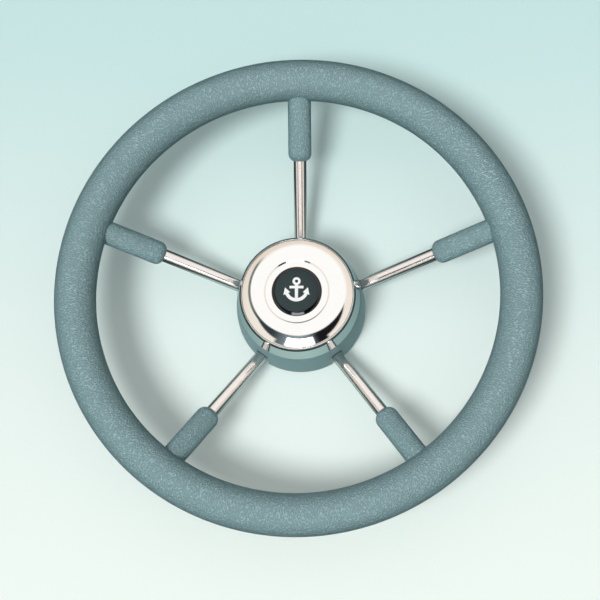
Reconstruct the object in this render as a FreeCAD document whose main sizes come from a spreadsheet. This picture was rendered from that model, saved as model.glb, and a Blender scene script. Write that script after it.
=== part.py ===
import FreeCAD, Part
import math
import os
import re

import Sketcher

# Boat steering wheel: five sloped spokes carry a foam covered rim above a capped hub.
# Millimetres. The origin is the centre of the hub's rear face, +Z runs along the shaft
# toward the driver, and the first spoke points along +Y.

SIZES = {
    # Rim
    "ring_radius": 159.9,
    "ring_height": 60.0,
    "grip_radius": 15.1,
    "core_radius": 6.0,
    "moulding_gap": 0.03,
    # Spokes and their foam sleeves
    "spoke_count": 5,
    "spoke_radius": 4.75,
    "spoke_root_height": 5.5,
    "spoke_weld_gap": 0.02,
    "sleeve_radius": 8.6,
    "sleeve_reach": 60.0,
    "sleeve_end_round": 6.2,
    # Turned boss on the helm shaft
    "boss_radius": 22.0,
    "boss_height": 30.5,
    "boss_bevel": 1.0,
    "shaft_diameter": 19.05,
    "taper_length": 25.4,
    "taper_ratio": 12.0,
    "keyway_width": 4.76,
    "keyway_depth": 2.4,
    "nut_recess_radius": 13.5,
    # Screws that hold the moulded shroud on the boss
    "boss_screw_count": 3,
    "boss_screw_circle": 18.2,
    "boss_screw_radius": 2.0,
    "boss_screw_head": 3.75,
    "boss_screw_length": 10.0,
    "boss_screw_hex": 2.5,
    "tapped_depth": 9.5,
    "thread_gap": 0.05,
    "hole_gap": 0.2,
    # Moulded shroud behind the waist of the hub
    "shroud_front_radius": 45.3,
    "shroud_rear_radius": 48.2,
    "shroud_rear_height": 1.0,
    "shroud_wall": 2.5,
    "shroud_web": 2.5,
    "shroud_edge_round": 0.6,
    "shroud_side_bow": 260.0,
    "notch_gap": 0.7,
    "shroud_rib": 2.0,
    "shroud_rib_depth": 6.5,
    "register_gap": 0.3,
    "register_depth": 10.0,
    # Polished collar with a rolled bead
    "collar_sheet": 1.0,
    "collar_foot_radius": 45.4,
    "collar_foot_bend": 1.2,
    "collar_flange_bore": 38.0,
    "bead_outer_radius": 42.4,
    "bead_roll": 1.0,
    "bead_height": 18.0,
    # Pressed dome
    "dome_sheet": 0.9,
    "dome_edge_gap": 0.2,
    "dome_edge_height": 17.6,
    "dome_edge_bend": 1.0,
    "dome_skirt_depth": 3.2,
    "dome_bow": 53.5,
    "land_radius": 23.1,
    "land_height": 24.0,
    "land_step": 0.45,
    "land_step_width": 0.9,
    "cap_hole_radius": 17.0,
    # Carrier inside the covers
    "carrier_plate": 3.5,
    "carrier_register_gap": 0.2,
    "carrier_edge_radius": 39.8,
    "carrier_tube_gap": 0.45,
    "carrier_tube_wall": 2.2,
    "carrier_seat_gap": 0.1,
    "support_ring_wall": 2.7,
    "support_ring_drop": 0.9,
    "carrier_rib": 2.0,
    "carrier_rib_height": 8.0,
    "cover_screw_circle": 30.0,
    "cover_screw_radius": 1.75,
    "cover_screw_length": 10.5,
    "cover_screw_head": 3.3,
    "cover_screw_head_height": 2.4,
    "cover_screw_hex": 2.5,
    "screw_post_radius": 4.0,
    "screw_post_height": 7.0,
    # Snap-in cap
    "bezel_radius": 18.1,
    "bezel_height": 3.6,
    "bezel_edge_round": 0.6,
    "bezel_top": 1.5,
    "crown_flat": 8.8,
    "crown_radius": 17.0,
    "skirt_depth": 8.0,
    "skirt_wall": 2.5,
    "skirt_gap": 0.3,
    "seal_groove_depth": 1.2,
    "seal_groove_width": 2.0,
    "seal_groove_drop": 4.0,
    "seal_section": 0.8,
    "face_radius": 15.6,
    "face_edge": 0.6,
    "face_gap": 0.1,
}

# Lengths that several pieces share, as formulas over the named sizes.
TILT = "atan((ring_height - spoke_root_height) / (ring_radius - boss_radius))"
WAIST = "(boss_height + shroud_web)"
LAND = "(boss_height + shroud_web + land_height)"
LIP = "(bead_outer_radius - 2 * bead_roll)"
EDGE = "(bead_outer_radius - 2 * bead_roll - dome_edge_gap)"
SKIRT = "(cap_hole_radius - skirt_gap)"
TUBE = "(cap_hole_radius - skirt_gap + carrier_tube_gap)"
CROWN = f"({LAND} + bezel_height)"

doc = FreeCAD.newDocument("boat_steering_wheel")
sheet = doc.addObject("Spreadsheet::Sheet", "Sizes")
for row, (alias, size) in enumerate(SIZES.items(), start=1):
    sheet.set(f"A{row}", alias.replace("_", " "))
    sheet.set(f"B{row}", str(size))
    sheet.setAlias(f"B{row}", alias)
doc.recompute()


def bound(text: str) -> str:
    """Return a formula in which each named size points at the sheet."""
    return re.sub(r"[a-z_]+", lambda word: "Sizes." * (word.group() in SIZES) + word.group(), text)


def number(text: str) -> float:
    """Return the value of a formula over the named sizes."""
    result = sheet.evalExpression(bound(text).replace("Sizes.", ""))
    return float(getattr(result, "Value", result))


def origin_part(body, role: str):
    """Return one of the planes or axes of a body's own origin."""
    return next(item for item in body.Origin.OriginFeatures if item.Role == role)


def new_body(label: str, turn: str = "0"):
    """Add a body, turned about the shaft by a formula in degrees."""
    body = doc.addObject("PartDesign::Body", label)
    body.Label = label
    body.AllowCompound = True
    place = f"placement(vector(0; 0; 0); rotation(vector(0; 0; 1); {turn}))"
    body.setExpression("Placement", bound(place))
    return body


def new_sketch(body, name: str, plane: str, along: str, across: str, lift: str, turn: str):
    """Attach a sketch to an origin plane, moved and turned in that plane by formulas."""
    sketch = body.newObject("Sketcher::SketchObject", name)
    sketch.AttachmentSupport = [(origin_part(body, plane), "")]
    sketch.MapMode = "FlatFace"
    place = f"placement(vector({along}; {across}; {lift}); rotation(vector(0; 0; 1); {turn}))"
    sketch.setExpression("AttachmentOffset", bound(place))
    doc.recompute()
    return sketch


def fix_point(sketch, curve: int, end: int, name: str, x_text: str, y_text: str) -> None:
    """Hold one point of a sketch at two formulas, measured from the sketch's origin."""
    for kind, text in (("DistanceX", x_text), ("DistanceY", y_text)):
        rule = Sketcher.Constraint(kind, -1, 1, curve, end, number(text))
        index = sketch.addConstraint(rule)
        sketch.renameConstraint(index, f"{name}_{kind[-1].lower()}")
        sketch.setExpression(f"Constraints[{index}]", bound(text))


def arc_curve(start, finish, radius: float, side: str):
    """Return the short arc between two points, bulging to one side of the way from the first."""
    chord = finish - start
    reach = math.sqrt(max(radius ** 2 - (chord.Length / 2) ** 2, 0.0))
    normal = FreeCAD.Vector(-chord.y, chord.x, 0).normalize()
    centre = (start + finish) / 2 + normal * (reach if side == "right" else -reach)
    first, last = (start, finish) if side == "right" else (finish, start)
    turn_from = math.atan2(first.y - centre.y, first.x - centre.x)
    turn_to = math.atan2(last.y - centre.y, last.x - centre.x)
    circle = Part.Circle(centre, FreeCAD.Vector(0, 0, 1), radius)
    return Part.ArcOfCircle(circle, turn_from, turn_to)


def outline(body, name, corners, plane="YZ_Plane", along="0", across="0", lift="0", turn="0"):
    """Draw a closed profile in a body.

    A corner is (x, y) for a line that ends there, or (x, y, radius, side) for an arc
    that ends there and bulges to that side of its way. All are formulas.
    """
    sketch = new_sketch(body, name, plane, along, across, lift, turn)
    points = [FreeCAD.Vector(number(corner[0]), number(corner[1]), 0) for corner in corners]
    ends = []
    for index, corner in enumerate(corners):
        start, finish = points[index - 1], points[index]
        if len(corner) == 2:
            curve = sketch.addGeometry(Part.LineSegment(start, finish), False)
            ends.append((curve, 1, 2))
            continue
        curve = sketch.addGeometry(arc_curve(start, finish, number(corner[2]), corner[3]), False)
        ends.append((curve, 1, 2) if corner[3] == "right" else (curve, 2, 1))
        held = sketch.addConstraint(Sketcher.Constraint("Radius", curve, number(corner[2])))
        sketch.setExpression(f"Constraints[{held}]", bound(corner[2]))
    for index, corner in enumerate(corners):
        before, after = ends[index], ends[(index + 1) % len(ends)]
        sketch.addConstraint(Sketcher.Constraint("Coincident", before[0], before[2], after[0], after[1]))
        fix_point(sketch, before[0], before[2], f"corner_{index}", corner[0], corner[1])
    doc.recompute()
    return sketch


def circle(body, name, x_text, y_text, radius, plane="YZ_Plane", lift="0"):
    """Draw a circle whose centre and radius are formulas."""
    sketch = new_sketch(body, name, plane, "0", "0", lift, "0")
    centre = FreeCAD.Vector(number(x_text), number(y_text), 0)
    curve = sketch.addGeometry(Part.Circle(centre, FreeCAD.Vector(0, 0, 1), number(radius)), False)
    held = sketch.addConstraint(Sketcher.Constraint("Radius", curve, number(radius)))
    sketch.setExpression(f"Constraints[{held}]", bound(radius))
    fix_point(sketch, curve, 3, "centre", x_text, y_text)
    doc.recompute()
    return sketch


def hexagon(body, name, x_text, y_text, across_flats, lift):
    """Draw a hexagon about a point, for the socket of a screw."""
    corners = []
    for step in range(6):
        x_corner = f"{x_text} + {across_flats} / sqrt(3) * cos({60 * step})"
        y_corner = f"{y_text} + {across_flats} / sqrt(3) * sin({60 * step})"
        corners.append((x_corner, y_corner))
    return outline(body, name, corners, plane="XY_Plane", lift=lift)


def spin(body, kind: str, sketch, axis: str = "V_Axis"):
    """Turn a sketch about one of its own axes, to add (Revolution) or cut (Groove)."""
    feature = body.newObject(f"PartDesign::{kind}", f"{sketch.Name}_turned")
    feature.Profile = sketch
    feature.ReferenceAxis = (sketch, [axis])
    feature.Angle = 360
    sketch.Visibility = False
    doc.recompute()
    return feature


def push(body, kind: str, sketch, length: str, both_ways: bool = False, flip: bool = False):
    """Extrude a sketch, to add (Pad) or cut (Pocket), on one side or evenly on both."""
    feature = body.newObject(f"PartDesign::{kind}", f"{sketch.Name}_pushed")
    feature.Profile = sketch
    feature.Type = "Length"
    feature.SideType = "Symmetric" if both_ways else "One side"
    feature.Reversed = flip
    feature.setExpression("Length", bound(length))
    sketch.Visibility = False
    doc.recompute()
    return feature


def repeat(body, originals, count: str):
    """Repeat features evenly about the shaft."""
    feature = body.newObject("PartDesign::PolarPattern", f"{originals[0].Name}_repeated")
    feature.Originals = originals
    feature.Axis = (origin_part(body, "Z_Axis"), [""])
    feature.Angle = 360
    feature.setExpression("Occurrences", bound(count))
    body.Tip = feature
    doc.recompute()
    return feature


def along_spoke(body, name, corners):
    """Draw a profile whose x runs outward along a spoke's axis and ends in the rim's centre."""
    return outline(body, name, corners, along="ring_radius", across="ring_height", turn=TILT)


def rim_core():
    """Solid bar ring inside the foam."""
    body = new_body("rim_core")
    bar = circle(body, "core_bar", "ring_radius", "ring_height", "core_radius")
    spin(body, "Revolution", bar)
    return body


def spoke(index: int):
    """Sloped rod, coped to the bar ring at its outer end and to the boss at its inner end."""
    body = new_body(f"spoke_{index + 1}", turn=f"{index} * 360 / spoke_count")
    inner = f"-(ring_radius - 0.7 * boss_radius) / cos({TILT})"
    rod = along_spoke(body, f"rod_{index}", [
        (inner, "0"),
        ("0", "0"),
        ("0", "spoke_radius"),
        (inner, "spoke_radius"),
    ])
    spin(body, "Revolution", rod, axis="H_Axis")
    seat = outline(body, f"boss_seat_{index}", [
        ("0", "-boss_height"),
        ("boss_radius + spoke_weld_gap", "-boss_height"),
        ("boss_radius + spoke_weld_gap", "boss_height"),
        ("0", "boss_height"),
    ])
    spin(body, "Groove", seat)
    saddle = circle(body, f"core_seat_{index}", "ring_radius", "ring_height",
                    "core_radius + spoke_weld_gap")
    spin(body, "Groove", saddle)
    return body


def foam_rim():
    """Soft moulded grip: one skin over the ring and the outer part of each spoke."""
    body = new_body("foam_rim")
    grip = circle(body, "grip", "ring_radius", "ring_height", "grip_radius")
    spin(body, "Revolution", grip)
    sleeve = along_spoke(body, "sleeve", [
        ("-sleeve_reach", "0"),
        ("-sleeve_reach", "sleeve_radius - sleeve_end_round"),
        ("-sleeve_reach + sleeve_end_round", "sleeve_radius", "sleeve_end_round", "left"),
        ("0", "sleeve_radius"),
        ("0", "0"),
    ])
    sleeves = spin(body, "Revolution", sleeve, axis="H_Axis")
    repeat(body, [sleeves], "spoke_count")
    core = circle(body, "core_channel", "ring_radius", "ring_height", "core_radius + moulding_gap")
    spin(body, "Groove", core)
    bore = along_spoke(body, "spoke_channel", [
        ("-sleeve_reach - sleeve_end_round", "0"),
        ("0", "0"),
        ("0", "spoke_radius + moulding_gap"),
        ("-sleeve_reach - sleeve_end_round", "spoke_radius + moulding_gap"),
    ])
    bores = spin(body, "Groove", bore, axis="H_Axis")
    repeat(body, [bores], "spoke_count")
    return body


def hub_boss():
    """Turned boss with a keyed taper bore, a nut recess and tapped holes."""
    body = new_body("hub_boss")
    small_end = "(shaft_diameter - taper_length / taper_ratio) / 2"
    profile = outline(body, "boss_profile", [
        ("shaft_diameter / 2", "0"),
        ("boss_radius - boss_bevel", "0"),
        ("boss_radius", "boss_bevel"),
        ("boss_radius", "boss_height - boss_bevel"),
        ("boss_radius - boss_bevel", "boss_height"),
        ("nut_recess_radius", "boss_height"),
        ("nut_recess_radius", "taper_length"),
        (small_end, "taper_length"),
    ])
    spin(body, "Revolution", profile)
    keyway = outline(body, "keyway", [
        ("-keyway_width / 2", "0"),
        ("keyway_width / 2", "0"),
        ("keyway_width / 2", "shaft_diameter / 2 + keyway_depth"),
        ("-keyway_width / 2", "shaft_diameter / 2 + keyway_depth"),
    ], plane="XY_Plane")
    push(body, "Pocket", keyway, "taper_length", flip=True)
    hole = circle(body, "tapped_hole", "0", "-boss_screw_circle", "boss_screw_radius + thread_gap",
                  plane="XY_Plane", lift="boss_height")
    holes = push(body, "Pocket", hole, "tapped_depth")
    repeat(body, [holes], "boss_screw_count")
    return body


def rear_shroud():
    """Moulded cup behind the waist, open to the rear, with a U notch over each spoke."""
    body = new_body("rear_shroud")
    under_web = "boss_height"
    profile = outline(body, "cup_profile", [
        ("nut_recess_radius", WAIST),
        ("shroud_front_radius - shroud_edge_round", WAIST),
        ("shroud_front_radius", f"{WAIST} - shroud_edge_round", "shroud_edge_round", "left"),
        ("shroud_rear_radius", "shroud_rear_height", "shroud_side_bow", "left"),
        ("shroud_rear_radius - shroud_wall", "shroud_rear_height"),
        ("shroud_front_radius - shroud_wall", under_web),
        ("nut_recess_radius", under_web),
    ])
    spin(body, "Revolution", profile)
    ring = outline(body, "register_ring", [
        ("boss_radius + register_gap", f"{WAIST} - shroud_web / 2"),
        ("boss_radius + register_gap", "boss_height - register_depth"),
        ("boss_radius + register_gap + shroud_rib", "boss_height - register_depth"),
        ("boss_radius + register_gap + shroud_rib", f"{WAIST} - shroud_web / 2"),
    ])
    spin(body, "Revolution", ring)
    rib = outline(body, "shroud_rib", [
        ("boss_radius + register_gap + shroud_rib / 2", f"{WAIST} - shroud_web / 2"),
        ("boss_radius + register_gap + shroud_rib / 2", "boss_height - shroud_rib_depth"),
        ("shroud_front_radius - shroud_wall / 2", "boss_height - shroud_rib_depth"),
        ("shroud_front_radius - shroud_wall / 2", f"{WAIST} - shroud_web / 2"),
    ])
    ribs = push(body, "Pad", rib, "shroud_rib", both_ways=True)
    repeat(body, [ribs], "spoke_count")
    reach_in = f"-(ring_radius - 0.8 * shroud_front_radius) / cos({TILT})"
    reach_out = f"-(ring_radius - 1.1 * shroud_rear_radius) / cos({TILT})"
    round_part = along_spoke(body, "notch_round", [
        (reach_in, "0"),
        (reach_out, "0"),
        (reach_out, "spoke_radius + notch_gap"),
        (reach_in, "spoke_radius + notch_gap"),
    ])
    rounds = spin(body, "Groove", round_part, axis="H_Axis")
    inner, outer = "0.8 * shroud_front_radius", "1.1 * shroud_rear_radius"
    open_part = outline(body, "notch_open", [
        (inner, "-spoke_root_height"),
        (outer, "-spoke_root_height"),
        (outer, f"ring_height - (ring_radius - {outer}) * tan({TILT})"),
        (inner, f"ring_height - (ring_radius - {inner}) * tan({TILT})"),
    ])
    opens = push(body, "Pocket", open_part, "2 * (spoke_radius + notch_gap)", both_ways=True)
    repeat(body, [rounds, opens], "spoke_count")
    sink = outline(body, "countersink", [
        ("0", WAIST),
        ("boss_screw_head + thread_gap", WAIST),
        ("boss_screw_radius + hole_gap", f"{WAIST} - boss_screw_head + boss_screw_radius"),
        ("boss_screw_radius + hole_gap", "boss_height - shroud_web"),
        ("0", "boss_height - shroud_web"),
    ], along="-boss_screw_circle")
    sinks = spin(body, "Groove", sink)
    repeat(body, [sinks], "boss_screw_count")
    hole = circle(body, "cover_screw_hole", "0", "-cover_screw_circle",
                  "cover_screw_radius + hole_gap", plane="XY_Plane", lift=WAIST)
    holes = push(body, "Pocket", hole, "2 * shroud_web")
    repeat(body, [holes], "spoke_count")
    return body


def hub_collar():
    """Polished flared ring with a rolled bead above and an in-turned flange below."""
    body = new_body("hub_collar")
    bead_low = f"{WAIST} + bead_height - bead_roll"
    profile = outline(body, "collar_profile", [
        ("collar_flange_bore", WAIST),
        ("collar_foot_radius - collar_foot_bend", WAIST),
        ("collar_foot_radius", f"{WAIST} + collar_foot_bend", "collar_foot_bend", "right"),
        ("bead_outer_radius", bead_low),
        ("bead_outer_radius - bead_roll", f"{WAIST} + bead_height", "bead_roll", "right"),
        (LIP, bead_low, "bead_roll", "right"),
        (LIP, f"{bead_low} - bead_roll"),
        ("bead_outer_radius - collar_sheet", f"{bead_low} - 1.5 * bead_roll"),
        ("collar_foot_radius - collar_sheet", f"{WAIST} + 1.2 * collar_sheet"),
        ("collar_foot_radius - 1.2 * collar_sheet", f"{WAIST} + collar_sheet"),
        ("collar_flange_bore", f"{WAIST} + collar_sheet"),
    ])
    spin(body, "Revolution", profile)
    return body


def hub_dome():
    """Pressed mirror dome: cap hole, sunk flat land, bowed top and turned-down edge."""
    body = new_body("hub_dome")
    edge = f"{WAIST} + dome_edge_height"
    step_top = f"{LAND} + land_step"
    brow = f"{edge} + 0.35 * dome_edge_bend"
    profile = outline(body, "dome_profile", [
        ("cap_hole_radius", LAND),
        ("land_radius", LAND),
        ("land_radius + land_step_width", step_top),
        (f"{EDGE} - 0.48 * dome_edge_bend", brow, "dome_bow", "left"),
        (EDGE, f"{edge} - 0.5 * dome_edge_bend", "dome_edge_bend", "left"),
        (EDGE, f"{edge} - dome_skirt_depth"),
        (f"{EDGE} - dome_sheet", f"{edge} - dome_skirt_depth"),
        (f"{EDGE} - dome_sheet", f"{brow} - 1.3 * dome_sheet"),
        ("land_radius + land_step_width", f"{step_top} - 1.1 * dome_sheet", "dome_bow", "right"),
        ("land_radius + 0.24 * dome_sheet", f"{LAND} - dome_sheet"),
        ("cap_hole_radius", f"{LAND} - dome_sheet"),
    ])
    spin(body, "Revolution", profile)
    return body


def cover_carrier():
    """Moulded piece between the covers and the shroud: plate, cap tube and dome support."""
    body = new_body("cover_carrier")
    support = f"{EDGE} - dome_sheet - 2 * dome_edge_gap"
    support_top = f"{WAIST} + dome_edge_height - support_ring_drop"
    plate_top = f"{WAIST} + carrier_plate"
    profile = outline(body, "carrier_profile", [
        (TUBE, WAIST),
        ("collar_flange_bore - carrier_register_gap", WAIST),
        ("collar_flange_bore - carrier_register_gap", f"{WAIST} + collar_sheet + carrier_seat_gap"),
        ("carrier_edge_radius", f"{WAIST} + collar_sheet + carrier_seat_gap"),
        ("carrier_edge_radius", plate_top),
        (support, plate_top),
        (support, support_top),
        (f"{support} - support_ring_wall", support_top),
        (f"{support} - support_ring_wall", plate_top),
        (f"{TUBE} + carrier_tube_wall", plate_top),
        (f"{TUBE} + carrier_tube_wall", f"{LAND} - dome_sheet - carrier_seat_gap"),
        (TUBE, f"{LAND} - dome_sheet - carrier_seat_gap"),
    ])
    spin(body, "Revolution", profile)
    rib = outline(body, "carrier_rib", [
        (f"{TUBE} + carrier_tube_wall / 2", f"{WAIST} + carrier_plate / 2"),
        (f"{support} - support_ring_wall / 2", f"{WAIST} + carrier_plate / 2"),
        (f"{support} - support_ring_wall / 2", f"{plate_top} + carrier_rib_height"),
        (f"{TUBE} + carrier_tube_wall / 2", f"{plate_top} + carrier_rib_height"),
    ])
    ribs = push(body, "Pad", rib, "carrier_rib", both_ways=True)
    post = circle(body, "screw_post", "0", "-cover_screw_circle", "screw_post_radius",
                  plane="XY_Plane", lift=f"{WAIST} + carrier_plate / 2")
    posts = push(body, "Pad", post, "carrier_plate / 2 + screw_post_height")
    repeat(body, [ribs, posts], "spoke_count")
    pilot = circle(body, "pilot_hole", "0", "-cover_screw_circle", "cover_screw_radius + thread_gap",
                   plane="XY_Plane", lift=WAIST)
    pilots = push(body, "Pocket", pilot, "cover_screw_length - shroud_web + hole_gap", flip=True)
    repeat(body, [pilots], "spoke_count")
    return body


def boss_screws():
    """Countersunk screws from the shroud's web into the boss."""
    body = new_body("boss_screws")
    screw = outline(body, "countersunk_screw", [
        ("0", WAIST),
        ("boss_screw_head", WAIST),
        ("boss_screw_radius", f"{WAIST} - boss_screw_head + boss_screw_radius"),
        ("boss_screw_radius", f"{WAIST} - boss_screw_length"),
        ("0", f"{WAIST} - boss_screw_length"),
    ], along="-boss_screw_circle")
    screws = spin(body, "Revolution", screw)
    socket = hexagon(body, "boss_screw_socket", "0", "-boss_screw_circle", "boss_screw_hex", WAIST)
    sockets = push(body, "Pocket", socket, "boss_screw_radius / 2")
    repeat(body, [screws, sockets], "boss_screw_count")
    return body


def cover_screws():
    """Pan head screws from the rear, through the web, into the carrier."""
    body = new_body("cover_screws")
    tip = "boss_height + cover_screw_length"
    head_low = "boss_height - cover_screw_head_height"
    screw = outline(body, "pan_screw", [
        ("0", tip),
        ("0", head_low),
        ("cover_screw_head - cover_screw_head_height / 2", head_low),
        ("cover_screw_head", "boss_height - cover_screw_head_height / 2",
         "cover_screw_head_height / 2", "right"),
        ("cover_screw_head", "boss_height"),
        ("cover_screw_radius", "boss_height"),
        ("cover_screw_radius", f"{tip} - cover_screw_radius"),
    ], along="-cover_screw_circle")
    screws = spin(body, "Revolution", screw)
    socket = hexagon(body, "cover_screw_socket", "0", "-cover_screw_circle", "cover_screw_hex",
                     head_low)
    sockets = push(body, "Pocket", socket, "cover_screw_head_height / 2", flip=True)
    repeat(body, [screws, sockets], "spoke_count")
    return body


def crown_height(reach: str) -> str:
    """Return the height of the cap's domed top at a distance from the shaft, as a formula."""
    return f"({CROWN} - crown_radius + sqrt(crown_radius ^ 2 - ({reach} - crown_flat) ^ 2))"


def cap_bezel():
    """Cap body: domed shoulder with a round edge, a sunk seat for the face, a grooved skirt."""
    body = new_body("cap_bezel")
    brow_reach = "bezel_radius - 0.48 * bezel_edge_round"
    brow = crown_height(brow_reach)
    seat = f"{crown_height('face_radius')} - face_edge"
    low = f"{LAND} - skirt_depth"
    groove_top = f"{LAND} - seal_groove_drop"
    groove_low = f"{groove_top} - seal_groove_width"
    floor = f"{SKIRT} - seal_groove_depth"
    profile = outline(body, "bezel_profile", [
        (f"{SKIRT} - skirt_wall", low),
        (SKIRT, low),
        (SKIRT, groove_low),
        (floor, groove_low),
        (floor, groove_top),
        (SKIRT, groove_top),
        (SKIRT, LAND),
        ("bezel_radius", LAND),
        ("bezel_radius", f"{brow} - 0.86 * bezel_edge_round"),
        (brow_reach, brow, "bezel_edge_round", "right"),
        ("face_radius + face_gap", crown_height("face_radius + face_gap"), "crown_radius", "right"),
        ("face_radius + face_gap", seat),
        ("0", seat),
        ("0", f"{seat} - bezel_top"),
        (f"{SKIRT} - skirt_wall", f"{seat} - bezel_top"),
    ])
    spin(body, "Revolution", profile)
    return body


def cap_face():
    """Plain face of the cap, which carries the dome on from the cap's shoulder."""
    body = new_body("cap_face")
    seat = f"{crown_height('face_radius')} - face_edge"
    profile = outline(body, "face_profile", [
        ("0", seat),
        ("face_radius", seat),
        ("face_radius", crown_height("face_radius")),
        ("crown_flat", CROWN, "crown_radius", "right"),
        ("0", CROWN),
    ])
    spin(body, "Revolution", profile)
    return body


def cap_seal():
    """Round ring in the skirt's groove, which holds the cap in the carrier's tube."""
    body = new_body("cap_seal")
    middle = f"{SKIRT} - seal_groove_depth + seal_section"
    height = f"{LAND} - seal_groove_drop - seal_groove_width / 2"
    section = circle(body, "seal_section_circle", middle, height, "seal_section")
    spin(body, "Revolution", section)
    return body


def build() -> list:
    """Build every piece of the wheel, each as its own body."""
    spokes = [spoke(index) for index in range(int(number("spoke_count")))]
    covers = [rear_shroud(), hub_collar(), hub_dome(), cover_carrier()]
    fasteners = [boss_screws(), cover_screws()]
    cap = [cap_bezel(), cap_face(), cap_seal()]
    return [foam_rim(), rim_core(), *spokes, hub_boss(), *covers, *fasteners, *cap]


def export(bodies: list) -> None:
    """Check every object of the document, then write one file for each body."""
    doc.recompute()
    for item in doc.Objects:
        faults = [state for state in item.State if state in ("Invalid", "Error")]
        assert not faults, (item.Label, item.State)
    os.makedirs("parts", exist_ok=True)
    for body in bodies:
        shape = body.Shape
        assert not shape.isNull() and shape.isValid(), body.Label
        shape.exportStep(f"parts/{body.Label}.step")
        print(body.Label, len(shape.Solids), round(shape.Volume))


export(build())
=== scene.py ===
"""Looks of a boat steering wheel: foam rim, polished spokes, domed hub and a black cap."""

import logging
import math
from dataclasses import dataclass, field
from enum import Enum
from functools import cached_property
from typing import Any, Optional, Sequence, Union

import bmesh
import bpy
from mathutils import Matrix, Vector


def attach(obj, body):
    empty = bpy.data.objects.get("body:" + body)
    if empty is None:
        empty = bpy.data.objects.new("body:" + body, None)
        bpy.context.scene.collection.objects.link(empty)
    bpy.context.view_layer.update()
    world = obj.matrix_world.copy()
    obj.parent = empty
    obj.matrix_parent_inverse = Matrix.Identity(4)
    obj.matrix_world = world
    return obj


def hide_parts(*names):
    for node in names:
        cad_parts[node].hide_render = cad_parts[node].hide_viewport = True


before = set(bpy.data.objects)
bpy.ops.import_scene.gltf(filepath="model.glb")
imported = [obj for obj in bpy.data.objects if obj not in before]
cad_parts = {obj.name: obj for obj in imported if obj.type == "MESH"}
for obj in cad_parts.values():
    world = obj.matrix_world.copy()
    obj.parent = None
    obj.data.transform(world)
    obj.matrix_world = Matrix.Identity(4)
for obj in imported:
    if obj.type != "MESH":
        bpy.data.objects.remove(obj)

LOG = logging.getLogger("wheel")
MM = 0.001
Point = tuple[float, float]
Span = tuple[float, float]
Colour = tuple[float, float, float]
Sockets = dict[Union[str, int], Any]

# Numbers of faces round an axis or along a profile
RING_STEPS = 320
TUBE_STEPS = 56
SLEEVE_STEPS = 48
SLEEVE_RINGS = 12
ROD_STEPS = 64
ROD_RINGS = 24
COVER_STEPS = 256
BEND_STEPS = 8
BOW_STEPS = 40
COLLAR_RINGS = 20
SHOULDER_STEPS = 12
LIP_STEPS = 10
CAP_STEPS = 160
EDGE_STEPS = 6
BROW_STEPS = 10
FLAT_STEPS = 3
CROWN_STEPS = 14
BAND_STEPS = 28
TENT_STEPS = 64

# Distances in metres under which points are joined
CLOSE = 1e-6
VERY_CLOSE = 1e-7


class Slot(Enum):
    """Material slots of the record meant for the scene's own pieces; this script gives no piece a slot.
    """

    FOAM = "foam"
    STEEL = "steel"
    CAP = "cap"
    CAP_DISC = "cap_disc"


@dataclass(frozen=True)
class RimSize:
    """Sizes of the foam rim, in millimetres.

    Attributes:
        ring_radius: Radius of the ring's centre line.
        ring_height: Height of that line above the hub's rear face.
        grip_radius: Radius of the foam tube.
        sleeve_radius: Radius of the foam sleeves on the spokes.
        sleeve_reach: Length of a sleeve along its spoke, from the centre line.
        sleeve_round: Radius of the round inner end of a sleeve.
        sleeve_turn: Degrees through which that end turns toward the rod.
        sharp: Edges that turn more than this many degrees stay sharp.
    """

    ring_radius: float = 159.9
    ring_height: float = 60.0
    grip_radius: float = 15.1
    sleeve_radius: float = 8.6
    sleeve_reach: float = 60.0
    sleeve_round: float = 6.2
    sleeve_turn: float = 78.0
    sharp: float = 60.0


@dataclass(frozen=True)
class SpokeSize:
    """Sizes of the spokes, in millimetres.

    Attributes:
        count: Number of spokes.
        radius: Radius of a rod.
        root_radius: Distance from the shaft at which a rod meets the boss.
        root_height: Height at which its axis meets the boss.
        tail: Distance from the ring's line at which a rod starts, inside the foam.
        root_piece: How far before its root the rod's last piece starts.
        root_depth: How far a rod goes on past the point where its axis meets the boss.
    """

    count: int = 5
    radius: float = 4.75
    root_radius: float = 22.0
    root_height: float = 5.5
    tail: float = 7.0
    root_piece: float = 2.0
    root_depth: float = 0.8


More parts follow.
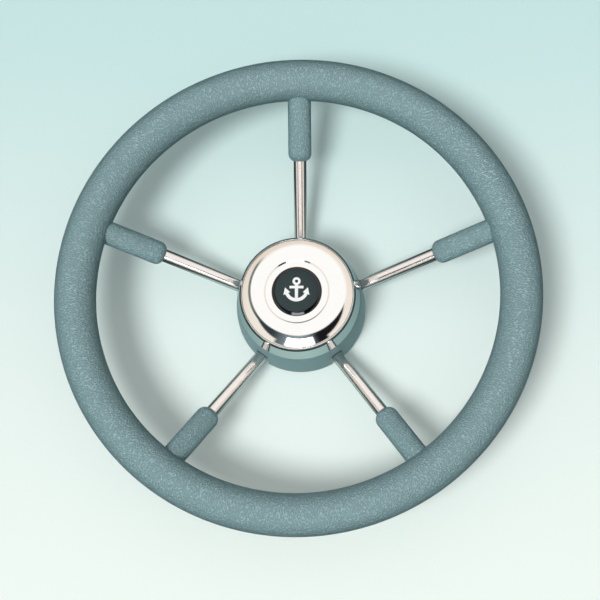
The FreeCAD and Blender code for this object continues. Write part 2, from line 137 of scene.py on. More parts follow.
@dataclass(frozen=True)
class HubSize:
    """Sizes of the hub's polished covers, in millimetres.

    Attributes:
        waist: Height of the collar's foot.
        land: Height of the flat land round the cap.
        cap_hole: Radius of the hole for the cap.
        hole_bevel: Bevel at the edge of that hole.
        land_radius: Radius at which the pressed step starts.
        step_width: Width of the step.
        step_rise: Rise of the step.
        crease_start: Distance before the step at which the land starts to fall to the crease.
        crease_floor: Distance before the step at which the crease is at its lowest.
        crease_end: Distance before the step at which it starts to rise.
        crease_depth: Depth of the crease under the land.
        flank_reach: Distance past the step's start at which the crease's flank ends.
        flank_drop: How far under the step's crest it ends.
        flank_shares: Shares of the flank at which it has rings, close at both ends to stay crisp.
        bow: Radius of the dome's profile.
        edge_radius: Outer radius of the dome's turned-down edge.
        edge_height: Height of that edge.
        edge_bend: Radius of its bend.
        edge_turn: Degrees through which it turns.
        edge_depth: Depth of the turned-down edge.
        sheet: Thickness of the dome.
        step_ease: Share of it by which the inner side lies under the step.
        collar_top: Height of the collar's lip.
        mouth_radius: Radius of its mouth.
        lip_round: Radius of the lip.
        lip_start: Angle at which the lip's round starts, in degrees.
        shoulder_reach: Radius at which its shoulder starts.
        shoulder_drop: Height of the shoulder.
        shoulder_radius: Radius of the shoulder's profile.
        foot_radius: Radius of the collar's foot.
        foot_bend: Bend radius at the foot.
        foot_turn: Angle at which the foot's bend ends, in degrees.
        collar_sheet: Thickness of the collar.
        corner_ease: Share of it over which its inner corner at the foot is cut.
        flange_bore: Bore of the collar's in-turned flange.
        sharp: Edges that turn more than this many degrees stay sharp.
    """

    waist: float = 33.0
    land: float = 57.0
    cap_hole: float = 17.0
    hole_bevel: float = 0.2
    land_radius: float = 23.1
    step_width: float = 0.9
    step_rise: float = 0.45
    crease_start: float = 1.9
    crease_floor: float = 0.72
    crease_end: float = 0.6
    crease_depth: float = 0.22
    flank_reach: float = 0.46
    flank_drop: float = 0.02
    flank_shares: tuple[float, ...] = (0.0, 0.04, 0.96, 1.0)
    bow: float = 53.5
    edge_radius: float = 40.2
    edge_height: float = 50.6
    edge_bend: float = 1.0
    edge_turn: float = 58.0
    edge_depth: float = 3.2
    sheet: float = 0.9
    step_ease: float = 1.1
    collar_top: float = 51.0
    mouth_radius: float = 40.4
    lip_round: float = 0.15
    lip_start: float = 45.0
    shoulder_reach: float = 42.6
    shoulder_drop: float = 3.0
    shoulder_radius: float = 5.7
    foot_radius: float = 45.0
    foot_bend: float = 1.2
    foot_turn: float = 8.0
    collar_sheet: float = 1.0
    corner_ease: float = 1.2
    flange_bore: float = 38.0
    sharp: float = 50.0


@dataclass(frozen=True)
class CapSize:
    """Sizes of the snap-in cap, in millimetres.

    Attributes:
        radius: Outer radius of the cap.
        height: Height of its flat middle above the land.
        edge_round: Radius of its outer edge.
        brow_inset: Share of that radius by which the crown ends inside the cap's radius.
        brow_rise: Share of that radius by which the crown ends above the round's centre.
        foot_bevel: Bevel where the cap sits on the land.
        crown_flat: Radius at which the flat middle starts to fall.
        crown_radius: Radius of the falling shoulder.
        face_radius: Radius of the printed face.
        face_edge: Thickness of the face at its edge.
        face_gap: Gap round the face.
        mouth_bevel: Width of the bevel at the mouth round the face.
        mouth_drop: Depth of that bevel.
        face_bevel: Bevel at the edge of the face.
        face_drop: How far the face's edge lies under the crown.
        face_seat: Gap under the face.
        skirt_radius: Outer radius of the skirt.
        skirt_wall: Wall of the skirt.
        skirt_depth: Length of the skirt below the land.
        ink: Height of the printed mark above the face.
    """

    radius: float = 18.1
    height: float = 3.6
    edge_round: float = 0.6
    brow_inset: float = 0.48
    brow_rise: float = 0.86
    foot_bevel: float = 0.1
    crown_flat: float = 8.8
    crown_radius: float = 17.0
    face_radius: float = 15.6
    face_edge: float = 0.6
    face_gap: float = 0.04
    mouth_bevel: float = 0.1
    mouth_drop: float = 0.08
    face_bevel: float = 0.05
    face_drop: float = 0.01
    face_seat: float = 0.02
    skirt_radius: float = 16.7
    skirt_wall: float = 2.5
    skirt_depth: float = 8.0
    ink: float = 0.03

    def crown(self, inner: float, outer: float, steps: int) -> list[Point]:
        """Return points down the domed top, measured from the land.

        Args:
            inner: Distance from the shaft of the first point.
            outer: Distance of the last point.
            steps: Number of pieces.

        Returns:
            The points, from the inner to the outer one.
        """
        points = []
        for step in range(steps + 1):
            reach = inner + (outer - inner) * step / steps
            past = max(reach - self.crown_flat, 0.0)
            fall = self.crown_radius - math.sqrt(self.crown_radius**2 - past**2)
            points.append((reach, self.height - fall))
        return points


def linear(red: float, green: float, blue: float) -> Colour:
    """Turn a colour given in display values from 0 to 255 into a linear one.

    Args:
        red: Red display value.
        green: Green display value.
        blue: Blue display value.

    Returns:
        The linear colour.
    """

    def channel(value: float) -> float:
        """Turn one display value into a linear one.

        Args:
            value: Display value.

        Returns:
            The linear value, from 0 to 1.
        """
        part = value / 255.0
        if part <= 0.04045:
            return part / 12.92
        return ((part + 0.055) / 1.055) ** 2.4

    return channel(red), channel(green), channel(blue)


BLACK = (0.0, 0.0, 0.0)
WHITE = (1.0, 1.0, 1.0)
FLOOR_NEAR = linear(237, 247, 242)
FLOOR_MIDDLE = linear(223, 238, 235)
FLOOR_FAR = linear(193, 225, 224)
STEEL_EDGE = (0.5, 0.56, 0.58)

Scalar = Union[int, float, "Field"]


@dataclass(frozen=True)
class Grain:
    """A noise over a surface.

    Attributes:
        scale: Number of its features in one millimetre.
        detail: Number of finer layers.
        twist: Distortion.
        stretch: Share of its height at which each point reads it.
        rings: Whether it lies in rings round the shaft.
    """

    scale: float
    detail: float = 3.0
    twist: float = 0.0
    stretch: float = 1.0
    rings: bool = False


class Field:
    """An output socket that takes part in formulas. Each operator adds one Math node."""

    def __init__(self, tree: "Tree", socket: bpy.types.NodeSocket) -> None:
        """Keep the tree and its socket."""
        self.tree = tree
        self.socket = socket

    def _math(self, operation: str, *values: Scalar) -> "Field":
        """Return what a Math node makes of some values."""
        return self.tree.field("ShaderNodeMath", 0, dict(enumerate(values)), operation=operation)

    def __add__(self, other: Scalar) -> "Field":
        """Return the sum."""
        return self._math("ADD", self, other)

    def __radd__(self, other: Scalar) -> "Field":
        """Return the sum with a number in front."""
        return self._math("ADD", other, self)

    def __sub__(self, other: Scalar) -> "Field":
        """Return the difference."""
        return self._math("SUBTRACT", self, other)

    def __rsub__(self, other: Scalar) -> "Field":
        """Return the difference with a number in front."""
        return self._math("SUBTRACT", other, self)

    def __mul__(self, other: Scalar) -> "Field":
        """Return the product."""
        return self._math("MULTIPLY", self, other)

    def __rmul__(self, other: Scalar) -> "Field":
        """Return the product with a number in front."""
        return self._math("MULTIPLY", other, self)

    def __truediv__(self, other: Scalar) -> "Field":
        """Return the quotient."""
        return self._math("DIVIDE", self, other)

    def __rtruediv__(self, other: Scalar) -> "Field":
        """Return the quotient with a number in front."""
        return self._math("DIVIDE", other, self)

    def __neg__(self) -> "Field":
        """Return the negative."""
        return self._math("MULTIPLY", self, -1.0)

    def root(self) -> "Field":
        """Return the square root."""
        return self._math("SQRT", self)

    def size(self) -> "Field":
        """Return the absolute value."""
        return self._math("ABSOLUTE", self)

    def least(self, other: Scalar) -> "Field":
        """Return the smaller of this and another value."""
        return self._math("MINIMUM", self, other)

    def most(self, other: Scalar) -> "Field":
        """Return the larger of this and another value."""
        return self._math("MAXIMUM", self, other)

    def lift(self) -> "Field":
        """Return the angle in degrees whose sine this is."""
        return self._math("ARCSINE", self.least(1.0).most(-1.0)) * math.degrees(1.0)

    def bearing(self, ahead: "Field") -> "Field":
        """Return the angle in degrees of this sideways way against the way ahead."""
        return self._math("ARCTAN2", self, ahead) * math.degrees(1.0)

    def rise(self, low: float, high: float) -> "Field":
        """Return a smooth step from 0 at low to 1 at high.

        Args:
            low: Value at which the step starts.
            high: Value at which it ends.

        Returns:
            The step. With high under low it falls instead.
        """
        if high < low:
            return 1.0 - self.rise(high, low)
        sockets = {"Value": self, "From Min": low, "From Max": high}
        return self.tree.field("ShaderNodeMapRange", "Result", sockets, interpolation_type="SMOOTHSTEP")


class Tree:
    """A node tree with one way to add nodes."""

    def __init__(self, nodes: bpy.types.NodeTree) -> None:
        """Keep the tree and empty it."""
        self.nodes = nodes
        self.nodes.nodes.clear()

    def node(
        self,
        kind: str,
        settings: Optional[dict[str, Any]] = None,
        sockets: Optional[Sockets] = None,
    ) -> bpy.types.Node:
        """Add a node, set its options, and set or link its inputs.

        Args:
            kind: Type name of the node.
            settings: Options by attribute name.
            sockets: Values, sockets or fields by input name or number.

        Returns:
            The node.
        """
        node = self.nodes.nodes.new(kind)
        for name, value in (settings or {}).items():
            setattr(node, name, value)
        for key, value in (sockets or {}).items():
            target = node.inputs[key]
            source = value.socket if isinstance(value, Field) else value
            if isinstance(source, bpy.types.NodeSocket):
                self.nodes.links.new(source, target)
            elif isinstance(source, tuple) and len(source) == 3 and target.type == "RGBA":
                target.default_value = (*source, 1.0)
            else:
                target.default_value = source
        return node

    def field(self, kind: str, output: Union[str, int], sockets: Sockets, **settings: Any) -> Field:
        """Add a node and return one of its outputs.

        Args:
            kind: Type name of the node.
            output: Name or number of the output.
            sockets: Values, sockets or fields by input name or number.
            **settings: Options by attribute name.

        Returns:
            The output as a field.
        """
        return Field(self, self.node(kind, settings, sockets).outputs[output])

    def parts(self, way: str) -> list[Field]:
        """Return the three parts of a texture coordinate.

        Args:
            way: Name of the coordinate.

        Returns:
            Its X, Y and Z.
        """
        whole = self.field("ShaderNodeTexCoord", way, {})
        split = self.node("ShaderNodeSeparateXYZ", None, {0: whole})
        return [Field(self, part) for part in split.outputs]

    def place(self) -> list[Field]:
        """Return the object's own coordinates in millimetres."""
        return [part * (1.0 / MM) for part in self.parts("Object")]

    def vector(self, x: Scalar, y: Scalar, z: Scalar) -> Field:
        """Join three values into a vector."""
        return self.field("ShaderNodeCombineXYZ", 0, {0: x, 1: y, 2: z})

    def grained(self, grain: Grain) -> Field:
        """Return a noise over the surface as its stretch and rings ask for.

        Args:
            grain: The noise.

        Returns:
            The noise, from 0 to 1.
        """
        x, y, z = self.place()
        if grain.rings:
            return self.noise(self.vector((x * x + y * y).root(), z, 0.0), grain)
        height = z if grain.stretch == 1.0 else z * grain.stretch
        return self.noise(self.vector(x, y, height), grain)

    def ray(self, *kinds: str) -> Field:
        """Return 1 for rays of any of the given kinds and 0 for others.

        Args:
            *kinds: Names of the kinds.

        Returns:
            The mask.
        """
        path = self.node("ShaderNodeLightPath").outputs
        mask = Field(self, path[f"Is {kinds[0]} Ray"])
        for kind in kinds[1:]:
            mask = mask.most(Field(self, path[f"Is {kind} Ray"]))
        return mask

    def noise(self, at: Field, grain: Grain) -> Field:
        """Return a noise texture's value.

        Args:
            at: Vector at which it is read.
            grain: The noise.

        Returns:
            The noise, from 0 to 1.
        """
        sockets = {"Vector": at, "Scale": grain.scale, "Detail": grain.detail}
        return self.field("ShaderNodeTexNoise", 0, {**sockets, "Distortion": grain.twist})

    def mix(self, share: Scalar, low: Union[Field, Colour], high: Union[Field, Colour]) -> Field:
        """Mix two colours.

        Args:
            share: Share of the second colour.
            low: First colour.
            high: Second colour.

        Returns:
            The mixed colour.
        """
        return self.field("ShaderNodeMix", 2, {0: share, 6: low, 7: high}, data_type="RGBA")

    def bump(self, height: Field, depth: float, strength: float) -> Field:
        """Return the normal of a surface with a small relief.

        Args:
            height: Relief, from 0 to 1.
            depth: Depth of the relief in millimetres.
            strength: Share of the relief that is used.

        Returns:
            The normal.
        """
        sockets = {"Height": height, "Distance": depth * MM, "Strength": strength}
        return self.field("ShaderNodeBump", 0, sockets)


@dataclass(frozen=True)
class Finish:
    """A material that is made once and shared by the pieces that ask for it.

    Attributes:
        label: Name of the material.
        shader: Type name of its shader.
    """

    label: str = "finish"
    shader: str = "ShaderNodeBsdfPrincipled"

    @cached_property
    def material(self) -> bpy.types.Material:
        """The material, made when it is first asked for.

        Returns:
            The material.
        """
        made = bpy.data.materials.new(self.label)
        made.use_nodes = True
        tree = Tree(made.node_tree)
        shader = tree.node(self.shader, None, self.surface(tree))
        tree.node("ShaderNodeOutputMaterial", None, {"Surface": shader.outputs[0]})
        LOG.info("material %s", self.label)
        return made

    def surface(self, tree: Tree) -> Sockets:
        """Return the inputs of the surface shader.

        Args:
            tree: Tree in which helper nodes are added.

        Returns:
            Values or fields by input name.
        """
        raise NotImplementedError


@dataclass(frozen=True)
class FoamSkin(Finish):
    """Grey-green foam skin with fine wrinkles that run across the grip, with painted shade in their
    hollows and toward the tube's sides.

    Attributes:
        size: Sizes of the rim, round whose line the wrinkles lie.
        pull: Share of its distance from that line at which each point reads the noise.
        folds: Noise of the wrinkles.
        fold: Span of that noise over which a wrinkle swells.
        pores: Noise of the pores.
        stains: Noise of the patches of colour.
        relief_shares: Shares of wrinkles and pores in the relief.
        relief: Depth of the relief in millimetres and the share of it that is used.
        patches: The two colours of the patches.
        hollow_shade: Darker colour between the wrinkles, painted shade in their hollows.
        side_shade: Darker colour toward the tube's sides as seen from the view, painted shade round a
            painted sheen.
        side_shade_span: Span of facing over which it goes over to that colour.
        roughness: Roughness between wrinkles.
        gloss: What the wrinkles take off the roughness and what the pores add to it.
        specular: Specular level.
    """

    label: str = "foam_skin"
    size: RimSize = RimSize()
    pull: float = 0.36
    folds: Grain = Grain(1.65, 1.0, 0.2)
    fold: Span = (0.38, 0.64)
    pores: Grain = Grain(1.5, 2.0)
    stains: Grain = Grain(0.035, 2.0)
    relief_shares: Span = (0.8, 0.2)
    relief: Span = (0.55, 1.0)
    patches: tuple[Colour, Colour] = (linear(156, 188, 193), linear(163, 195, 200))
    hollow_shade: Colour = linear(124, 156, 161)
    side_shade: Colour = linear(100, 134, 139)
    side_shade_span: Span = (0.1, 0.9)
    roughness: float = 0.36
    gloss: Span = (0.08, 0.04)
    specular: float = 0.7

    def surface(self, tree: Tree) -> Sockets:
        """Stretch the grain across the tube by pulling each point toward the ring's line.

        Args:
            tree: Tree in which helper nodes are added.

        Returns:
            Values or fields by input name.
        """
        x, y, z = tree.place()
        ring = self.size.ring_radius
        radius = (x * x + y * y).root()
        pulled = (ring + (radius - ring) * self.pull) / radius
        at = tree.vector(x * pulled, y * pulled, z * self.pull)
        blister = tree.noise(at, self.folds).rise(*self.fold)
        pore = tree.grained(self.pores)
        relief = blister * self.relief_shares[0] + pore * self.relief_shares[1]
        normal = tree.bump(relief, *self.relief)
        # Painted sheen and shade: lighter where the skin faces the eye, darker toward the tube's sides.
        edge = tree.field("ShaderNodeLayerWeight", "Facing", {"Blend": 0.5, "Normal": normal})
        base = tree.mix(tree.grained(self.stains), *self.patches)
        # Painted shade: darker colour in the hollows between the wrinkles, where the relief is low.
        shaded_skin = tree.mix(blister, self.hollow_shade, base)
        return {
            "Base Color": tree.mix(edge.rise(*self.side_shade_span), shaded_skin, self.side_shade),
            "Roughness": self.roughness - blister * self.gloss[0] + pore * self.gloss[1],
            "Specular IOR Level": self.specular,
            "Normal": normal,
        }


@dataclass(frozen=True)
class Grained(Finish):
    """A finish whose colour, roughness and relief follow fine noises.

    Attributes:
        low: Colour where the noise is 0.
        high: Colour where it is 1.
        metallic: 1 for metal.
        specular: Specular level.
        tint: Tint of the reflection seen from the side.
        tone: Noise of the colour.
        wear: Noise of the roughness, which is that of the colour where it isn't given.
        bumps: Noise of the relief, which is that of the roughness where it isn't given.
        roughness: Roughness where the noise is 0.
        dulling: What the roughness gains where it is 1.
        depth: Depth of the relief in millimetres. At 0, relief and roughness stay even.
        strength: Share of the relief that is used.
    """

    low: Colour = BLACK
    high: Colour = WHITE
    metallic: float = 0.0
    specular: float = 0.5
    tint: Colour = WHITE
    tone: Grain = Grain(1.0)
    wear: Optional[Grain] = None
    bumps: Optional[Grain] = None
    roughness: float = 0.5
    dulling: float = 0.0
    depth: float = 0.0
    strength: float = 0.4

    def surface(self, tree: Tree) -> Sockets:
        """Let the noises drive what varies over the surface.

        Args:
            tree: Tree in which helper nodes are added.

        Returns:
            Values or fields by input name.
        """
        tone = tree.grained(self.tone)
        inputs: Sockets = {
            "Base Color": tree.mix(tone, self.low, self.high),
            "Metallic": self.metallic,
            "Specular IOR Level": self.specular,
            "Specular Tint": self.tint,
            "Roughness": self.roughness,
        }
        if self.depth:
            wear = tree.grained(self.wear) if self.wear else tone
            relief = tree.grained(self.bumps) if self.bumps else wear
            inputs["Roughness"] = self.roughness + wear * self.dulling
            inputs["Normal"] = tree.bump(relief, self.depth, self.strength)
        return inputs


@dataclass(frozen=True)
class PolishedSteel(Grained):
    """Mirror-polished stainless steel with faint smears and a very slight waviness."""

    label: str = "polished_steel"
    low: Colour = (0.93, 0.92, 0.905)
    high: Colour = (0.96, 0.955, 0.945)
    metallic: float = 1.0
    tint: Colour = STEEL_EDGE
    tone: Grain = Grain(0.25)
    bumps: Optional[Grain] = Grain(0.045, 1.0)
    roughness: float = 0.035
    dulling: float = 0.03
    depth: float = 0.12
    strength: float = 0.25


@dataclass(frozen=True)
class DrawnSteel(Grained):
    """Polished drawn rod, a little softer and warmer than the pressed covers."""

    label: str = "drawn_steel"
    low: Colour = (0.8, 0.75, 0.73)
    high: Colour = (0.89, 0.85, 0.83)
    metallic: float = 1.0
    tint: Colour = STEEL_EDGE
    tone: Grain = Grain(0.3)
    roughness: float = 0.12
    dulling: float = 0.06
    depth: float = 0.02


@dataclass(frozen=True)
class TurnedSteel(Grained):
    """Machined steel with stains, and the tool's fine rings round the shaft."""

    label: str = "turned_steel"
    low: Colour = (0.5, 0.5, 0.49)
    high: Colour = (0.64, 0.635, 0.62)
    metallic: float = 1.0
    tone: Grain = Grain(0.12)
    wear: Optional[Grain] = Grain(3.2, rings=True)
    roughness: float = 0.28
    dulling: float = 0.16
    depth: float = 0.03
    strength: float = 0.6


@dataclass(frozen=True)
class ScrewSteel(Grained):
    """Plain zinc-grey screws with dulled heads."""

    label: str = "screw_steel"
    low: Colour = (0.46, 0.46, 0.45)
    high: Colour = (0.62, 0.61, 0.6)
    metallic: float = 1.0
    tone: Grain = Grain(0.9)
    roughness: float = 0.3
    dulling: float = 0.15
    depth: float = 0.04


@dataclass(frozen=True)
class MouldedShroud(Grained):
    """Satin moulded plastic in the colour of the rim, with flow marks and a fine spark texture."""

    label: str = "moulded_shroud"
    low: Colour = linear(111, 141, 146)
    high: Colour = linear(121, 153, 158)
    tone: Grain = Grain(0.06, 2.0, 0.5, stretch=0.3)
    wear: Optional[Grain] = Grain(2.4)
    roughness: float = 0.4
    dulling: float = 0.1
    depth: float = 0.05
    strength: float = 0.5


@dataclass(frozen=True)
class InnerPlastic(Grained):
    """Unpainted black moulding inside the covers."""

    label: str = "inner_plastic"
    low: Colour = (0.012, 0.012, 0.013)
    high: Colour = (0.022, 0.022, 0.023)
    tone: Grain = Grain(1.8)
    dulling: float = 0.12
    depth: float = 0.06
    strength: float = 0.5


@dataclass(frozen=True)
class GlossBlack(Grained):
    """Gloss black cap with faint swirl marks."""

    label: str = "gloss_black"
    low: Colour = (0.0015, 0.003, 0.0032)
    high: Colour = (0.0025, 0.005, 0.0055)
    specular: float = 0.6
    tone: Grain = Grain(0.5)
    roughness: float = 0.03
    dulling: float = 0.04
    depth: float = 0.01
    strength: float = 0.2


@dataclass(frozen=True)
class DiscPrint(Grained):
    """Satin, dark grey-green face of the cap."""

    label: str = "disc_print"
    low: Colour = linear(49, 60, 62)
    high: Colour = linear(57, 69, 71)
    specular: float = 0.1
    tone: Grain = Grain(2.6)
    roughness: float = 0.52
    dulling: float = 0.1
    depth: float = 0.006
    strength: float = 0.3


@dataclass(frozen=True)
class WhiteMark(Grained):
    """White ink of the mark on the disc, very slightly broken up."""

    label: str = "white_mark"
    low: Colour = (0.84, 0.86, 0.87)
    high: Colour = (0.9, 0.92, 0.93)
    tone: Grain = Grain(3.0, 2.0)


@dataclass(frozen=True)
class SealRubber(Grained):
    """Black nitrile ring, dulled by fine dust."""

    label: str = "seal_rubber"
    low: Colour = (0.01, 0.01, 0.01)
    high: Colour = (0.025, 0.025, 0.025)
    tone: Grain = Grain(1.2)
    roughness: float = 0.55
    dulling: float = 0.15
    depth: float = 0.03


@dataclass(frozen=True)
class Finishes:
    """One of each finish.

    Attributes:
        foam: Skin of the rim.
        polished: Hub covers.
        rods: Spokes.
        turned: Boss and ring bar.
        screws: Screws.
        shroud: Moulded cup.
        plastic: Inner moulding.
        black: Cap body.
        disc: Cap disc.
        mark: Printed mark.
        seal: Seal ring.
    """

    foam: Finish = field(default_factory=FoamSkin)
    polished: Finish = field(default_factory=PolishedSteel)
    rods: Finish = field(default_factory=DrawnSteel)
    turned: Finish = field(default_factory=TurnedSteel)
    screws: Finish = field(default_factory=ScrewSteel)
    shroud: Finish = field(default_factory=MouldedShroud)
    plastic: Finish = field(default_factory=InnerPlastic)
    black: Finish = field(default_factory=GlossBlack)
    disc: Finish = field(default_factory=DiscPrint)
    mark: Finish = field(default_factory=WhiteMark)
    seal: Finish = field(default_factory=SealRubber)


def arc(centre: Point, radius: float, start: float, end: float, steps: int) -> list[Point]:
    """Return points along an arc.

    Args:
        centre: Centre of the arc.
        radius: Its radius.
        start: Angle of the first point in degrees.
        end: Angle of the last point in degrees.
        steps: Number of pieces.

    Returns:
        The points, both ends included.
    """
    points = []
    for step in range(steps + 1):
        angle = math.radians(start + (end - start) * step / steps)
        points.append((centre[0] + radius * math.cos(angle), centre[1] + radius * math.sin(angle)))
    return points


def bowed(start: Point, end: Point, radius: float, steps: int) -> list[Point]:
    """Return points along the short arc between two points that bulges to the left of its way.

    Args:
        start: First point.
        end: Last point.
        radius: Radius of the arc.
        steps: Number of pieces.

    Returns:
        The points, both ends included.
    """
    dx, dy = end[0] - start[0], end[1] - start[1]
    length = math.hypot(dx, dy)
    reach = math.sqrt(radius**2 - (length / 2) ** 2)
    middle = between(start, end, 0.5)
    centre = (middle[0] + dy / length * reach, middle[1] - dx / length * reach)
    first = math.degrees(math.atan2(start[1] - centre[1], start[0] - centre[0]))
    last = math.degrees(math.atan2(end[1] - centre[1], end[0] - centre[0]))
    return arc(centre, radius, first, last, steps)


def between(start: Point, end: Point, share: float) -> Point:
    """Return the point at a share of the way from one point to another."""
    return start[0] + (end[0] - start[0]) * share, start[1] + (end[1] - start[1]) * share


def lathe(mesh: bmesh.types.BMesh, profile: Sequence[Point], steps: int, place: Matrix) -> None:
    """Turn a profile about its own Z axis and add the faces to a mesh.

    Args:
        mesh: Mesh that gets the faces.
        profile: Points as radius and height in millimetres, in order along the surface.
        steps: Number of faces round the axis.
        place: Where the turned shape goes, in metres.
    """
    rings = []
    for radius, height in profile:
        if radius < CLOSE:
            rings.append([mesh.verts.new(place @ Vector((0.0, 0.0, height * MM)))])
            continue
        ring = []
        for step in range(steps):
            angle = 2 * math.pi * step / steps
            spot = Vector((radius * math.cos(angle), radius * math.sin(angle), height)) * MM
            ring.append(mesh.verts.new(place @ spot))
        rings.append(ring)
    for low, high in zip(rings, rings[1:]):
        for step in range(steps):
            after = (step + 1) % steps
            corners = [low[step % len(low)], low[after % len(low)]]
            corners += [high[after % len(high)], high[step % len(high)]]
            unique = list(dict.fromkeys(corners))
            if len(unique) > 2:
                mesh.faces.new(unique)


def to_object(mesh: bmesh.types.BMesh, name: str, finish: Finish) -> bpy.types.Object:
    """Turn a mesh into an object of the scene.

    Args:
        mesh: The finished mesh, which is freed.
        name: Name of the object.
        finish: Its material.

    Returns:
        The object.
    """
    data = bpy.data.meshes.new(name)
    mesh.to_mesh(data)
    mesh.free()
    data.materials.append(finish.material)
    piece = bpy.data.objects.new(name, data)
    bpy.context.collection.objects.link(piece)
    LOG.info("piece %s with %d faces", name, len(data.polygons))
    return piece


def wheel_piece(
    mesh: bmesh.types.BMesh,
    name: str,
    finish: Finish,
    nodes: Sequence[str] = (),
    sharp: float = 40.0,
) -> None:
    """Turn a mesh into a smooth-shaded piece that rides with the wheel and stands for CAD nodes.

    Args:
        mesh: The finished mesh, which is freed.
        name: Name of the piece.
        finish: Its material.
        nodes: Names of the CAD nodes that it replaces.
        sharp: Edges that turn more than this many degrees stay sharp.
    """
    bmesh.ops.recalc_face_normals(mesh, faces=mesh.faces)
    piece = to_object(mesh, name, finish)
    piece.data.shade_smooth()
    piece.data.set_sharp_from_angle(angle=math.radians(sharp))
    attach(piece, "root")
    if nodes:
        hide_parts(*nodes)


def spoke_place(index: int, rim: RimSize, spokes: SpokeSize) -> Matrix:
    """Return the frame of a spoke: its Z runs from the ring's line toward the shaft.

    Args:
        index: Number of the spoke, from 0.
        rim: Sizes of the rim.
        spokes: Sizes of the spokes.

    Returns:
        The frame as a matrix in metres.
    """
    drop = rim.ring_height - spokes.root_height
    run = rim.ring_radius - spokes.root_radius
    turn = Matrix.Rotation(2 * math.pi * index / spokes.count, 4, "Z")
    start = Matrix.Translation(Vector((0.0, rim.ring_radius, rim.ring_height)) * MM)
    inward = Vector((0.0, -run, -drop)).normalized()
    across = Vector((1.0, 0.0, 0.0))
    third = inward.cross(across)
    axes = Matrix((across, third, inward)).transposed().to_4x4()
    return turn @ start @ axes


@dataclass(frozen=True)
class Rim:
    """The foam rim with its five sleeves.

    Attributes:
        size: Sizes of the rim.
        spokes: Sizes of the spokes.
        finishes: Materials.
    """

    size: RimSize
    spokes: SpokeSize
    finishes: Finishes

    def build(self) -> None:
        """Build the foam as one object."""
        mesh = bmesh.new()
        self._ring(mesh)
        for index in range(self.spokes.count):
            self._sleeve(mesh, index)
        foam = self.finishes.foam
        wheel_piece(mesh, "foam_grip", foam, ["foam_rim"], self.size.sharp)

    def _ring(self, mesh: bmesh.types.BMesh) -> None:
        """Add the ring's tube.

        Args:
            mesh: Mesh that gets the faces.
        """
        centre = (self.size.ring_radius, self.size.ring_height)
        tube = arc(centre, self.size.grip_radius, 0.0, 360.0, TUBE_STEPS)
        lathe(mesh, tube, RING_STEPS, Matrix.Identity(4))
        bmesh.ops.remove_doubles(mesh, verts=mesh.verts, dist=CLOSE)

    def _sleeve(self, mesh: bmesh.types.BMesh, index: int) -> None:
        """Add one sleeve with its round inner end.

        Args:
            mesh: Mesh that gets the faces.
            index: Number of the spoke, from 0.
        """
        size = self.size
        corner = (size.sleeve_radius - size.sleeve_round, size.sleeve_reach - size.sleeve_round)
        stretch = corner[1] / SLEEVE_RINGS
        profile = [(size.sleeve_radius, stretch * step) for step in range(SLEEVE_RINGS)]
        profile += arc(corner, size.sleeve_round, 0.0, size.sleeve_turn, SLEEVE_RINGS)
        lathe(mesh, profile, SLEEVE_STEPS, spoke_place(index, size, self.spokes))


@dataclass(frozen=True)
class Spokes:
    """The five polished rods.

    Attributes:
        rim: Sizes of the rim.
        size: Sizes of the spokes.
        finishes: Materials.
    """

    rim: RimSize
    size: SpokeSize
    finishes: Finishes

    def build(self) -> None:
        """Build each rod as its own object."""
        for index in range(self.size.count):
            mesh = bmesh.new()
            lathe(mesh, self._profile(), ROD_STEPS, spoke_place(index, self.rim, self.size))
            name, node = f"rod_{index + 1}", f"spoke_{index + 1}"
            wheel_piece(mesh, name, self.finishes.rods, [node])

    def _profile(self) -> list[Point]:
        """Return the profile of a rod, from inside the foam to inside the boss.

        Returns:
            Its points as radius and distance from the ring's line.
        """
        size = self.size
        drop = self.rim.ring_height - size.root_height
        run = self.rim.ring_radius - size.root_radius
        length = math.hypot(run, drop)
        plain = length - (size.tail + size.root_piece)
        profile = [
            (size.radius, size.tail + plain * step / ROD_RINGS) for step in range(ROD_RINGS + 1)
        ]
        return profile + [(size.radius, length + size.root_depth)]


